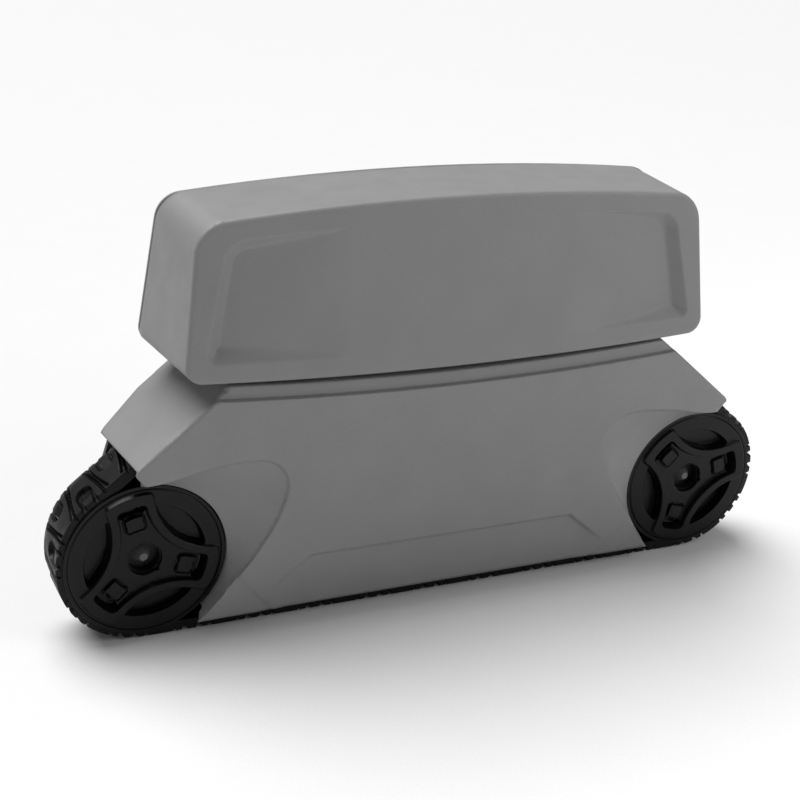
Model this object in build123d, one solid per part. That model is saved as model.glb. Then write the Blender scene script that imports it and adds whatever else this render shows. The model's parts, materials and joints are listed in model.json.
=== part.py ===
from build123d import *
import math
import os

# One side drive unit of a tracked pool cleaner: casing, float, rubber track, wheels and drive.
#
# Millimetres. X runs along the unit, +Y goes from the outer side towards the cleaner's main body,
# +Z is up. The origin is on the ground, under the middle of the unit.
# A "depth" is a distance behind the casing's outer face. It becomes Y in one place, extruded().

os.makedirs("parts", exist_ok=True)

# Overall
DEPTH = 88.0
WALL = 2.5
RUNNING = 0.05          # radial clearance of a shaft in its bush
GAP = 0.3               # clearance between the track and what turns in it

# Wheels and track
WHEEL_X = 216.0
WHEEL_Z = 60.0
TRACK_R = 60.0          # to the tips of the lugs
LUG = 4.0
BAND = 4.0
RIB = 2.5               # guide rib inside the band
RIB_WIDTH = 6.0
TRACK_NEAR = 19.0
TRACK_WIDTH = 41.0
TRACK_FAR = TRACK_NEAR + TRACK_WIDTH
TRACK_MIDDLE = TRACK_NEAR + TRACK_WIDTH / 2
LUG_COUNT = 52
LUG_SPACE = 9.0
DRUM_R = TRACK_R - LUG - BAND - GAP

# Casing
ARCH_R = 56.3
ARCH_DEPTH = 16.0
SLOPE = math.radians(39.7)
COVER_REACH = 63.9      # from the wheel's axis to the outside of the sloping end
SLOPE_END = 36.3        # how far up the slope the end cover stops
CASING_DEPTH = 86.0
DECK_MIDDLE = 179.2
DECK_END = 186.0
DECK_CHAMFER = 9.0
PANEL_BOTTOM = 9.0
PANEL_HALF = 183.0
CREASE_Z = 54.0
CREASE_HALF = 103.0
FACET_HALF = 145.0
FACET_TUCK = 12.0
# The scooped recess round the wheel: its edge on the outer face, from the end cover down to the track
SCOOP_EDGE = [(236, 121), (186, 129), (148, 133), (125, 123), (126, 93), (152, 49), (182, 10), (188, -4)]

# Upper pulleys
PULLEY_R = 28.0         # to the lug tips of the track round it
PULLEY_CORE = PULLEY_R - LUG - BAND - GAP
PULLEY_Z = 136.0
SHAFT_R = 6.0
BUSH_R = 9.0

# Inner plate and gears
PLATE_DEPTH = 66.0
PLATE = 4.0
PLATE_BACK = PLATE_DEPTH + PLATE
GEAR_MODULE = 1.5
GEAR_TEETH = 32
PINION_TEETH = 16
GEAR_DEPTH = 73.0
GEAR_WIDTH = 8.0
PINION_ANGLE = math.radians(200)
MOTOR_SHAFT_R = 4.0
MOTOR_BORE = 12.0
PINION_HUB_R = 8.0
SEAL_R = 11.0
COVER_WALL = 2.0
COVER_EAR_R = 4.5
BACKLASH = 0.25
MOUNT_X = 100.0
MOUNT_Z = (45.0, 125.0)
MOUNT_HOLE_R = 2.6

# Bottom rollers, pillars and fasteners
ROLLER_X = (-108.0, -36.0, 36.0, 108.0)
ROLLER_R = 13.7
ROLLER_Z = LUG + BAND + ROLLER_R + GAP
ROLLER_AXLE_R = 4.0
PILLARS = [(0, 142), (-100, 142), (100, 142), (-150, 86), (150, 86), (-72, 56), (72, 56), (0, 56)]
PILLAR_R = 6.0
SCREW_R = 1.8
SCREW_HEAD_R = 3.4
SCREW_HEAD = 2.4
SCREW_GRIP = 20.0
AXLE_SEAT = 6.0         # how deep the roller axles sit in the casing
SHAFT_NEAR = 6.0        # where the upper shafts start behind the outer face
AXLE_FAR = 78.0
RIB_THICK = 2.5
RIB_DEPTH = 76.0
MOUNT_BOSS_R = 9.0
MOUNT_HOLE_DEPTH = 12.0

# Wheel
CAP_R = 53.0
CAP_DEPTH = 15.5
CAP_THICK = 3.2
FLANGE_R = 55.4         # a thin flange behind the cap's face closes the gap to the arch
FLANGE_SETBACK = 1.7
HUB_HOLE_R = 11.7
HUB_R = 16.0
AXLE_R = 8.0
BEARING_R = 11.0
LENS_OUTER = 42.4
LENS_INNER = 25.0
LENS_SPREAD = math.radians(39)
LATCH_R = 30.0
LATCH_SIZE = 14.0
HUB_NEAR = 22.0
AXLE_NEAR = 28.0        # where the washers start, inside the hub
WASHER = 1.5
NUT_R = 7.0
NUT_LONG = 6.0
NUT_SIDES = 8
NUT_TAPER = 33.0
DRUM_RIBS = 6
WEB_DEPTH = 30.0
BUSH_LONG = 8.0
WHEEL_SPOKES = {"front": 104.5, "rear": 135.0}
WHEEL_SIDES = {"front": -1, "rear": 1}

# Float
FLOAT_LOW_MIDDLE = 183.2
FLOAT_LOW_END = 189.5
FLOAT_TOP_MIDDLE = 300.0
FLOAT_TOP_END = 290.0
FLOAT_LOW_HALF = 196.0
FLOAT_TOP_HALF = 186.0
FLOAT_LOW_DRAFT = 7.0   # the far side is this much longer at each end
FLOAT_TOP_DRAFT = 3.0
FLOAT_LEAN = 13.0       # how far the outer face leans back at the top
FLOAT_WALL = 2.0
FLOAT_SCOOP = 7.0
BRACKET_X = 110.0
BRACKET_HALF = 15.0
BRACKET_HIGH = 14.0
BRACKET_DEPTHS = (32.0, 68.0)
BRACKET_STEP = 12.0
BRACKET_SCREW_R = 2.0
BRACKET_SCREW_HEAD = 0.5
FLOAT_LOW_R = 10.0
FLOAT_TOP_R = 19.0
SCOOP_LOW, SCOOP_HIGH = 202.0, 277.0
SCOOP_MIDDLE, SCOOP_DEEPEST, SCOOP_END = 88.0, 168.0, 179.0
FLOAT_SCREW_NEAR = 40.0


def extruded(outline, near, far):
    """The XZ outline as a solid between two depths."""
    plane = Plane((0, near - DEPTH / 2, 0), x_dir=(1, 0, 0), z_dir=(0, -1, 0))
    return extrude(plane * outline, amount=near - far)


def disc(x, z, radius, near, far):
    return extruded(Pos(x, z) * Circle(radius), near, far)


def tube(x, z, outer, inner, near, far):
    return extruded(Pos(x, z) * (Circle(outer) - Circle(inner)), near, far)


def polygon(*points):
    return make_face(Polyline(*points, close=True))


def both_sides(points):
    """Points of the right half, then their mirror images in reverse order."""
    return list(points) + [(-x, z) for x, z in reversed(points)]


def slope_x(z, reach):
    """Where the sloping line at this reach from the wheel's axis has the height z."""
    return WHEEL_X + (reach - (z - WHEEL_Z) * math.cos(SLOPE)) / math.sin(SLOPE)


def slope_point(up, reach):
    """The point this far up the slope at this reach from the wheel's axis."""
    x = WHEEL_X + reach * math.sin(SLOPE) - up * math.cos(SLOPE)
    z = WHEEL_Z + reach * math.cos(SLOPE) + up * math.sin(SLOPE)
    return x, z


def pulley_x():
    """The upper pulley lies where its track run is in line with the wheel's."""
    return slope_x(PULLEY_Z, TRACK_R - PULLEY_R)


def save(node, *solids):
    shape = solids[0] if len(solids) == 1 else Compound(children=list(solids))
    export_step(shape, f"parts/{node}.step")


def closed_under(points, middle_top, end_top, end_half):
    """The face under a shallow curved top, with the given points as the rest of its outline."""
    top = ThreePointArc((-end_half, end_top), (0, middle_top), (end_half, end_top))
    rest = Polyline((end_half, end_top), *points, (-end_half, end_top))
    return make_face(top + rest)


# Casing

def casing_outline():
    end_top = DECK_END
    half = slope_x(end_top, COVER_REACH)
    side = [slope_point(SLOPE_END, COVER_REACH), slope_point(SLOPE_END, COVER_REACH - 21), (WHEEL_X, WHEEL_Z),
            (PANEL_HALF, PANEL_BOTTOM)]
    return closed_under(both_sides(side), DECK_MIDDLE, end_top, half)


def casing_cavity():
    end_top = DECK_END - WALL
    half = slope_x(end_top, COVER_REACH - WALL)
    floor = -10
    side = [(slope_x(floor, COVER_REACH - WALL), floor)]
    return closed_under(both_sides(side), DECK_MIDDLE - WALL, end_top, half)


def scoop(grow, near, depth, radius):
    """A solid that narrows from the scoop's edge on the face to a circle round the wheel."""
    def section(curve, arc, y):
        plane = Plane((0, y - DEPTH / 2, 0), x_dir=(1, 0, 0), z_dir=(0, -1, 0))
        return plane * make_face(curve + arc)
    edge = []
    for x, z in SCOOP_EDGE:
        away = Vector(x - WHEEL_X, z - WHEEL_Z)
        edge.append(Vector(x, z) + away.normalized() * grow)
    start, end = edge[0], edge[-1]
    outside = (WHEEL_X + CAP_R + 25, WHEEL_Z)
    large = section(Spline(*edge), ThreePointArc(end, outside, start), near)

    def on_circle(point):
        away = Vector(point.X - WHEEL_X, point.Y - WHEEL_Z).normalized()
        return Vector(WHEEL_X, WHEEL_Z) + away * radius
    inner_start, inner_end = on_circle(start), on_circle(end)
    inner_arc = ThreePointArc(inner_start, (WHEEL_X - radius, WHEEL_Z), inner_end)
    outer_arc = ThreePointArc(inner_end, (WHEEL_X + radius, WHEEL_Z), inner_start)
    small = section(inner_arc, outer_arc, depth)
    return loft([large, small], ruled=True)


def facet_cut():
    """What the tilted facet under the crease takes off the outer face."""
    low = PANEL_BOTTOM - 2
    plan = polygon(*both_sides([(CREASE_HALF, CREASE_Z), (FACET_HALF, low)]))
    tuck = FACET_TUCK * (CREASE_Z - low) / (CREASE_Z - PANEL_BOTTOM)
    section = Polyline((0, CREASE_Z), (tuck, low), (-1, low), (-1, CREASE_Z), close=True)
    wedge = extrude(Plane.YZ * Pos(-DEPTH / 2, 0) * make_face(section), amount=FACET_HALF, both=True)
    return wedge & extruded(plan, -2, 2 * FACET_TUCK)


def chamfered_top(outline, near, far):
    """The outline as a solid whose upper edge on the outer side is cut away."""
    body = extruded(outline, near, far)
    edge = body.edges().filter_by(GeomType.CIRCLE).sort_by(Axis.Y)[0]
    return chamfer(edge, DECK_CHAMFER)


def roller_points():
    return [(x, ROLLER_Z) for x in ROLLER_X]


def bracket_screw_points():
    middle = sum(BRACKET_DEPTHS) / 2 - DEPTH / 2
    return [(side * BRACKET_X, middle + step) for side in (-1, 1) for step in (-BRACKET_STEP, BRACKET_STEP)]


def side_casing():
    body = chamfered_top(casing_outline(), 0, CASING_DEPTH)
    dish = scoop(WALL, 0, ARCH_DEPTH + WALL, ARCH_R + WALL)
    cavity = chamfered_top(casing_cavity(), WALL, CASING_DEPTH + 1)
    cavity -= dish
    cavity -= mirror(dish, about=Plane.YZ)
    cavity -= Pos(0, WALL, 0) * facet_cut()
    shell = body - cavity
    for x, z in PILLARS:
        shell += disc(x, z, PILLAR_R, 1, PLATE_DEPTH)
    for x, z in roller_points():
        shell += disc(x, z, ROLLER_AXLE_R + 3, 1, TRACK_NEAR)
    for side in (-1, 1):
        shell += disc(side * pulley_x(), PULLEY_Z, BUSH_R + 3, 1, ARCH_DEPTH)
    recess = scoop(0, -0.01, ARCH_DEPTH, ARCH_R) + disc(WHEEL_X, WHEEL_Z, ARCH_R, 0, TRACK_NEAR)
    shell -= recess
    shell -= mirror(recess, about=Plane.YZ)
    shell -= facet_cut()
    for x, z in PILLARS:
        shell -= disc(x, z, SCREW_R, PLATE_DEPTH - SCREW_GRIP, PLATE_DEPTH)
    for x, z in roller_points():
        shell -= disc(x, z, ROLLER_AXLE_R, TRACK_NEAR - AXLE_SEAT, TRACK_NEAR)
    shell -= disc(pulley_x(), PULLEY_Z, BUSH_R, SHAFT_NEAR, ARCH_DEPTH)
    shell -= disc(-pulley_x(), PULLEY_Z, SHAFT_R, SHAFT_NEAR, ARCH_DEPTH)
    for x, y in bracket_screw_points():
        shell -= Pos(x, y, DECK_MIDDLE) * Cylinder(BRACKET_SCREW_R, 30)
    return shell


# Inner plate and what is fixed to it

def plate_outline():
    reach = COVER_REACH - WALL - 0.4
    top = DECK_END - WALL - 0.4
    side = [slope_point(SLOPE_END, reach), (WHEEL_X + 26, 78), (WHEEL_X + 26, 46), (PANEL_HALF, 13)]
    return closed_under(both_sides(side), DECK_MIDDLE - WALL - 0.4, top, slope_x(top, reach))


def pinion_point():
    apart = GEAR_MODULE * (GEAR_TEETH + PINION_TEETH) / 2
    return pulley_x() + apart * math.cos(PINION_ANGLE), PULLEY_Z + apart * math.sin(PINION_ANGLE)


def mount_points():
    return [(x, z) for x in (-MOUNT_X, MOUNT_X) for z in MOUNT_Z]


def bar(start, end, width, near, far):
    """A straight rib between two points of the XZ plane."""
    (x0, z0), (x1, z1) = start, end
    length = math.hypot(x1 - x0, z1 - z0)
    turn = Rot(0, 0, math.degrees(math.atan2(z1 - z0, x1 - x0)))
    return extruded(Pos((x0 + x1) / 2, (z0 + z1) / 2) * turn * Rectangle(length, width), near, far)


def inner_plate():
    plate = extruded(plate_outline(), PLATE_DEPTH, PLATE_BACK)
    left_low, left_high, right_low, right_high = mount_points()
    left_wheel, right_wheel = (-WHEEL_X, WHEEL_Z), (WHEEL_X, WHEEL_Z)
    ribs = [(left_wheel, left_low), (left_low, right_low), (right_low, right_wheel), (left_wheel, left_high),
            (left_high, right_high), (right_high, right_wheel),
            (left_low, left_high), (right_low, right_high),
            (left_low, right_high), (left_high, right_low)]
    for start, end in ribs:
        plate += bar(start, end, RIB_THICK, PLATE_BACK, RIB_DEPTH)
    for x, z in mount_points():
        plate += disc(x, z, MOUNT_BOSS_R, PLATE_BACK, CASING_DEPTH)
    for x, z in (left_wheel, right_wheel):
        plate += disc(x, z, AXLE_R + 5, PLATE_BACK, AXLE_FAR)
    plate += disc(-pulley_x(), PULLEY_Z, SHAFT_R + 4, PLATE_BACK, RIB_DEPTH)
    for x, z in (left_wheel, right_wheel):
        plate -= disc(x, z, AXLE_R, PLATE_DEPTH, AXLE_FAR)
    for x, z in mount_points():
        plate -= disc(x, z, MOUNT_HOLE_R, CASING_DEPTH - MOUNT_HOLE_DEPTH, CASING_DEPTH)
    for x, z in PILLARS:
        plate -= disc(x, z, SCREW_R, PLATE_DEPTH, RIB_DEPTH)
        plate -= disc(x, z, SCREW_HEAD_R, PLATE_BACK, RIB_DEPTH)
    for x, z in roller_points():
        plate -= disc(x, z, ROLLER_AXLE_R, PLATE_DEPTH, RIB_DEPTH)
    plate -= extruded(gear_cover_outline(COVER_WALL + 1), PLATE_BACK, RIB_DEPTH)
    for x, z in gear_screw_points():
        plate -= disc(x, z, COVER_EAR_R + 1, PLATE_BACK, RIB_DEPTH)
        plate -= disc(x, z, SCREW_R, PLATE_DEPTH, PLATE_BACK)
    plate -= disc(-pulley_x(), PULLEY_Z, SHAFT_R, PLATE_DEPTH, RIB_DEPTH)
    plate -= disc(pulley_x(), PULLEY_Z, BUSH_R, PLATE_DEPTH, PLATE_BACK)
    plate -= disc(*pinion_point(), BUSH_R, PLATE_DEPTH, PLATE_BACK)
    return plate


def screw(x, z, head_depth, tip_depth, shank_r=SCREW_R, head_r=SCREW_HEAD_R, head=SCREW_HEAD):
    """A screw driven from the inner side: its head's far end, then its tip nearer the outer face."""
    under = head_depth - head
    body = disc(x, z, shank_r, tip_depth, under) + disc(x, z, head_r, under, head_depth)
    socket = extruded(Pos(x, z) * RegularPolygon(head_r * 0.5, 6), head_depth - head * 0.6, head_depth)
    return body - socket


def casing_screws():
    return [screw(x, z, PLATE_BACK + SCREW_HEAD, PLATE_DEPTH - SCREW_GRIP) for x, z in PILLARS]


def gear_cover_outline(grow):
    gear_r = GEAR_MODULE * (GEAR_TEETH / 2 + 1) + 1 + grow
    pinion_r = GEAR_MODULE * (PINION_TEETH / 2 + 1) + 1 + grow
    gear = Pos(pulley_x(), PULLEY_Z) * Circle(gear_r)
    pinion = Pos(*pinion_point()) * Circle(pinion_r)
    return make_hull((gear + pinion).edges())


def gear_cover_ears():
    """From the gears' centre line out to four ears, two beside the gear and two beside the pinion."""
    x, z = pinion_point()
    across = (-math.sin(PINION_ANGLE), math.cos(PINION_ANGLE))
    ears = []
    for start, reach in (((x, z), 22.5), (((x + pulley_x()) / 2, (z + PULLEY_Z) / 2), 29.5)):
        for step in (-reach, reach):
            ears.append((start, (start[0] + across[0] * step, start[1] + across[1] * step)))
    return ears


def gear_screw_points():
    return [end for start, end in gear_cover_ears()]


def gear_cover():
    cover = extruded(gear_cover_outline(COVER_WALL), PLATE_BACK, CASING_DEPTH)
    for start, (x, z) in gear_cover_ears():
        cover += disc(x, z, COVER_EAR_R, PLATE_BACK, PLATE_BACK + 3)
        cover += bar(start, (x, z), 2 * COVER_EAR_R, PLATE_BACK, PLATE_BACK + 3)
    cover -= extruded(gear_cover_outline(0), PLATE_BACK, CASING_DEPTH - COVER_WALL)
    for x, z in gear_screw_points():
        cover -= disc(x, z, SCREW_R, PLATE_BACK, PLATE_BACK + 3)
    x, z = pinion_point()
    cover += tube(x, z, SEAL_R + COVER_WALL, SEAL_R, CASING_DEPTH - 5, CASING_DEPTH)
    cover -= disc(x, z, SEAL_R, CASING_DEPTH - 5, CASING_DEPTH)
    return cover


def gear_cover_screws():
    head = PLATE_BACK + 3 + SCREW_HEAD
    return [screw(x, z, head, PLATE_DEPTH) for x, z in gear_screw_points()]


def shaft_seal():
    return tube(*pinion_point(), SEAL_R, PINION_HUB_R + 0.1, CASING_DEPTH - 3, CASING_DEPTH - 0.5)


def pinion_bushes():
    x, z = pinion_point()
    outer = tube(x, z, SEAL_R, PINION_HUB_R + RUNNING, CASING_DEPTH - 5, CASING_DEPTH - 3)
    inner = tube(x, z, BUSH_R, SHAFT_R + RUNNING, PLATE_DEPTH, PLATE_BACK)
    return [inner, outer]


# Gears

def involute_point(base_r, roll):
    """A point of the involute of a circle after it has unrolled by this angle."""
    x = base_r * (math.cos(roll) + roll * math.sin(roll))
    z = base_r * (math.sin(roll) - roll * math.cos(roll))
    return Vector(x, z)


def gear_face(teeth, turn):
    """An involute gear with some backlash. turn rotates it so that it meshes with its mate."""
    pitch_r = GEAR_MODULE * teeth / 2
    base_r = pitch_r * math.cos(math.radians(20))
    root_r = pitch_r - 1.25 * GEAR_MODULE
    tip_r = pitch_r + 0.9 * GEAR_MODULE
    roll_pitch = math.sqrt((pitch_r / base_r) ** 2 - 1)
    roll_tip = math.sqrt((tip_r / base_r) ** 2 - 1)
    pitch_angle = roll_pitch - math.atan(roll_pitch)
    half_tooth = math.pi / teeth / 2 - BACKLASH / pitch_r / 2
    flank = [involute_point(base_r, roll_tip * step / 4) for step in range(5)]
    flank = [point.rotate(Axis.Z, -math.degrees(pitch_angle + half_tooth)) for point in flank]
    low = flank[0].normalized() * root_r
    side = [low] + flank if base_r > root_r else [p for p in flank if p.length > root_r]
    tooth = side + [Vector(p.X, -p.Y) for p in reversed(side)]
    outline = []
    for index in range(teeth):
        angle = 360 * index / teeth + turn
        outline += [point.rotate(Axis.Z, angle) for point in tooth]
    return make_face(Polyline(*outline, close=True))


def mesh_turns():
    """Turns that put a tooth of the gear in a space of the pinion on the line between them."""
    gear_turn = math.degrees(PINION_ANGLE)
    pinion_turn = gear_turn + 180 + 180 / PINION_TEETH
    return gear_turn, pinion_turn


def drive_gear():
    face = Pos(pulley_x(), PULLEY_Z) * gear_face(GEAR_TEETH, mesh_turns()[0])
    gear = extruded(face, GEAR_DEPTH, GEAR_DEPTH + GEAR_WIDTH)
    return gear - disc(pulley_x(), PULLEY_Z, SHAFT_R, GEAR_DEPTH, GEAR_DEPTH + GEAR_WIDTH)


def drive_pinion():
    x, z = pinion_point()
    face = Pos(x, z) * gear_face(PINION_TEETH, mesh_turns()[1])
    pinion = extruded(face, GEAR_DEPTH, GEAR_DEPTH + GEAR_WIDTH)
    pinion += disc(x, z, SHAFT_R, PLATE_DEPTH + 1, GEAR_DEPTH)
    pinion += disc(x, z, PINION_HUB_R, GEAR_DEPTH + GEAR_WIDTH, CASING_DEPTH)
    return pinion - disc(x, z, MOTOR_SHAFT_R, CASING_DEPTH - MOTOR_BORE, CASING_DEPTH)


# Drive shaft and pulleys

def drive_shaft():
    return disc(pulley_x(), PULLEY_Z, SHAFT_R, SHAFT_NEAR + 0.5, GEAR_DEPTH + GEAR_WIDTH + 2)


def drive_circlip():
    near = GEAR_DEPTH + GEAR_WIDTH
    ring = tube(pulley_x(), PULLEY_Z, SHAFT_R + 2, SHAFT_R, near, near + 1)
    return ring - extruded(Pos(pulley_x(), PULLEY_Z + SHAFT_R) * Rectangle(3, 6), near, near + 1)


def drive_bush(near, far):
    return tube(pulley_x(), PULLEY_Z, BUSH_R, SHAFT_R + RUNNING, near, far)


def grooved_roller(x, z, radius, bore_r, near, far):
    """A roller with a groove for the track's guide rib."""
    roller = tube(x, z, radius, bore_r, near, far)
    half = RIB_WIDTH / 2 + GAP
    return roller - tube(x, z, radius + 1, radius - RIB - GAP, TRACK_MIDDLE - half, TRACK_MIDDLE + half)


def drive_pulley():
    return grooved_roller(pulley_x(), PULLEY_Z, PULLEY_CORE, SHAFT_R, TRACK_NEAR, TRACK_FAR)


def idler_pulley():
    return grooved_roller(-pulley_x(), PULLEY_Z, PULLEY_CORE, BUSH_R, TRACK_NEAR, TRACK_FAR)


def idler_bushes():
    def bush(near):
        return tube(-pulley_x(), PULLEY_Z, BUSH_R, SHAFT_R + RUNNING, near, near + BUSH_LONG)
    return [bush(TRACK_NEAR), bush(TRACK_FAR - BUSH_LONG)]


def idler_axle():
    return disc(-pulley_x(), PULLEY_Z, SHAFT_R, SHAFT_NEAR, RIB_DEPTH)


def support_roller(x):
    return grooved_roller(x, ROLLER_Z, ROLLER_R, ROLLER_AXLE_R + RUNNING, TRACK_NEAR + 1, TRACK_FAR - 1)


def roller_axles():
    return [disc(x, z, ROLLER_AXLE_R, TRACK_NEAR - AXLE_SEAT, RIB_DEPTH) for x, z in roller_points()]


# Track

def track_hull(inset):
    """The area inside the track's path, this far in from its lug tips."""
    wheels = [Pos(side * WHEEL_X, WHEEL_Z) * Circle(TRACK_R - inset) for side in (-1, 1)]
    pulleys = [Pos(side * pulley_x(), PULLEY_Z) * Circle(PULLEY_R - inset) for side in (-1, 1)]
    edges = []
    for circle in wheels + pulleys:
        edges += circle.edges()
    return make_hull(edges)


def track_belt():
    band = extruded(track_hull(LUG) - track_hull(LUG + BAND), TRACK_NEAR, TRACK_FAR)
    half = RIB_WIDTH / 2
    rib = track_hull(LUG + BAND) - track_hull(LUG + BAND + RIB)
    band += extruded(rib, TRACK_MIDDLE - half, TRACK_MIDDLE + half)
    path = track_hull(LUG / 2).wire()
    spaces = []
    for index in range(LUG_COUNT):
        share = index / LUG_COUNT
        spot, along = path.position_at(share), path.tangent_at(share)
        turn = math.degrees(math.atan2(along.Y, along.X))
        spaces.append(Pos(spot.X, spot.Y) * Rot(0, 0, turn) * Rectangle(LUG_SPACE, LUG + 2))
    lug_ring = track_hull(0) - track_hull(LUG + 0.5)
    for space in spaces:
        lug_ring -= space
    return band + extruded(lug_ring, TRACK_NEAR, TRACK_FAR)


# Wheels

def wheel_drum(side):
    x = side * WHEEL_X
    drum = tube(x, WHEEL_Z, DRUM_R, DRUM_R - 6, TRACK_NEAR, TRACK_FAR)
    drum += tube(x, WHEEL_Z, DRUM_R - 6, HUB_R, WEB_DEPTH, WEB_DEPTH + 3)
    drum += tube(x, WHEEL_Z, HUB_R, BEARING_R, HUB_NEAR, PLATE_DEPTH - 1)
    half = RIB_WIDTH / 2 + GAP
    groove = tube(x, WHEEL_Z, DRUM_R + 1, DRUM_R - RIB - GAP, TRACK_MIDDLE - half, TRACK_MIDDLE + half)
    drum -= groove
    for step in range(DRUM_RIBS):
        angle = 2 * math.pi * step / DRUM_RIBS
        inner, outer = polar(angle, HUB_R - 2), polar(angle, DRUM_R - 4)
        start, end = (x + inner.X, WHEEL_Z + inner.Y), (x + outer.X, WHEEL_Z + outer.Y)
        drum += bar(start, end, RIB_THICK, WEB_DEPTH + 2, TRACK_FAR - 6)
    return drum - disc(x, WHEEL_Z, BEARING_R, HUB_NEAR, PLATE_DEPTH - 1)


def spoke_angles(name):
    return [math.radians(WHEEL_SPOKES[name] + 120 * step) for step in range(3)]


def polar(angle, radius):
    return Vector(radius * math.cos(angle), radius * math.sin(angle))


def lens(angle):
    """One opening between two spokes, about the wheel's centre."""
    start, end = polar(angle - LENS_SPREAD, LENS_OUTER), polar(angle + LENS_SPREAD, LENS_OUTER)
    outer = ThreePointArc(start, polar(angle, LENS_OUTER), end)
    inner = ThreePointArc(end, polar(angle, LENS_INNER), start)
    return make_face(outer + inner)


def latch_pad(angle, grow=0.0):
    size = LATCH_SIZE + 2 * grow
    pad = RectangleRounded(size, size, 3 + grow)
    centre = polar(angle, LATCH_R)
    return Pos(centre.X, centre.Y) * Rot(0, 0, math.degrees(angle)) * pad


def wheel_cap(name):
    x = WHEEL_SIDES[name] * WHEEL_X
    face = Circle(CAP_R) - Circle(HUB_HOLE_R)
    for angle in spoke_angles(name):
        face -= lens(angle + math.pi / 3)
        face -= latch_pad(angle, GAP)
    cap = extruded(Pos(x, WHEEL_Z) * face, CAP_DEPTH, CAP_DEPTH + CAP_THICK)
    cap += tube(x, WHEEL_Z, FLANGE_R, CAP_R - 1, CAP_DEPTH + FLANGE_SETBACK, CAP_DEPTH + CAP_THICK)
    cap += tube(x, WHEEL_Z, CAP_R - 2, LENS_OUTER, CAP_DEPTH + CAP_THICK, TRACK_NEAR)
    return cap + tube(x, WHEEL_Z, DRUM_R - 6, LENS_OUTER, TRACK_NEAR, WEB_DEPTH)


def wheel_latches(name):
    x = WHEEL_SIDES[name] * WHEEL_X
    latches = []
    for angle in spoke_angles(name):
        leg = polar(angle, LATCH_R)
        pad = extruded(Pos(x, WHEEL_Z) * latch_pad(angle), CAP_DEPTH - 0.5, CAP_DEPTH + CAP_THICK)
        latches.append(pad + disc(x + leg.X, WHEEL_Z + leg.Y, 4, CAP_DEPTH + CAP_THICK, WEB_DEPTH))
    return latches


def wheel_bearings(side):
    def bearing(near):
        return tube(side * WHEEL_X, WHEEL_Z, BEARING_R, AXLE_R + RUNNING, near, near + BUSH_LONG)
    return [bearing(AXLE_NEAR + WASHER + 0.5), bearing(PLATE_DEPTH - 1 - BUSH_LONG)]


def wheel_axle(side):
    return disc(side * WHEEL_X, WHEEL_Z, AXLE_R, AXLE_NEAR + WASHER, AXLE_FAR)


def axle_washers():
    far = AXLE_NEAR + WASHER
    return [disc(side * WHEEL_X, WHEEL_Z, BEARING_R - 0.5, AXLE_NEAR, far) for side in (-1, 1)]


def axle_screws():
    """Faceted cone-ended nuts, deep in the hub holes."""
    screws = []
    for side in (-1, 1):
        plane = Plane((side * WHEEL_X, AXLE_NEAR - DEPTH / 2, WHEEL_Z), x_dir=(1, 0, 0), z_dir=(0, -1, 0))
        screws.append(extrude(plane * RegularPolygon(NUT_R, NUT_SIDES), amount=NUT_LONG, taper=NUT_TAPER))
    return screws


# Float

def float_outline(inset=0.0, spread=0.0):
    """The float's outline. The spread goes from 0 at its near side to 1 at its far side."""
    low_end, low_half = FLOAT_LOW_END + inset, FLOAT_LOW_HALF + FLOAT_LOW_DRAFT * spread - inset
    top_end, top_half = FLOAT_TOP_END - inset, FLOAT_TOP_HALF + FLOAT_TOP_DRAFT * spread - inset
    low = ThreePointArc((-low_half, low_end), (0, FLOAT_LOW_MIDDLE + inset), (low_half, low_end))
    top = ThreePointArc((top_half, top_end), (0, FLOAT_TOP_MIDDLE - inset), (-top_half, top_end))
    face = make_face(low + Line((low_half, low_end), (top_half, top_end)) + top
                     + Line((-top_half, top_end), (-low_half, low_end)))
    face = fillet(face.vertices().sort_by(Axis.Y)[:2], FLOAT_LOW_R - inset)
    return fillet(face.vertices().sort_by(Axis.Y)[-2:], FLOAT_TOP_R - inset)


def float_solid(inset, near, far):
    """The float's rounded block, a little longer on the far side."""
    def section(depth):
        plane = Plane((0, depth - DEPTH / 2, 0), x_dir=(1, 0, 0), z_dir=(0, -1, 0))
        return plane * float_outline(inset, depth / DEPTH)
    return loft([section(near), section(far)], ruled=True)


def leaning_front(setback):
    """Everything in front of the float's leaning outer face, moved back by this much."""
    low, high = FLOAT_LOW_MIDDLE - 1, FLOAT_TOP_MIDDLE + 1
    section = Polyline((-20, low), (setback, low), (setback + FLOAT_LEAN, high), (-20, high), close=True)
    return extrude(Plane.YZ * Pos(-DEPTH / 2, 0) * make_face(section), amount=2 * FLOAT_LOW_HALF, both=True)


def float_scoops():
    """Shallow hollows in the outer face, deepest near the float's two ends."""
    front = [(SCOOP_MIDDLE, -20), (SCOOP_MIDDLE, 0), (SCOOP_DEEPEST, FLOAT_SCOOP)]
    plan = make_face(Polyline(*front, (SCOOP_END, 0), (SCOOP_END, -20), close=True))
    wedge = Pos(0, 0, SCOOP_LOW) * extrude(plan, amount=SCOOP_HIGH - SCOOP_LOW)
    rise = FLOAT_TOP_MIDDLE - FLOAT_LOW_MIDDLE
    lean = math.degrees(math.atan2(FLOAT_LEAN, rise))
    start = FLOAT_LEAN * (SCOOP_LOW - FLOAT_LOW_MIDDLE) / rise
    wedge = Pos(0, start - DEPTH / 2, SCOOP_LOW) * Rot(-lean, 0, 0) * Pos(0, 0, -SCOOP_LOW) * wedge
    return wedge + mirror(wedge, about=Plane.YZ)


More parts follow.
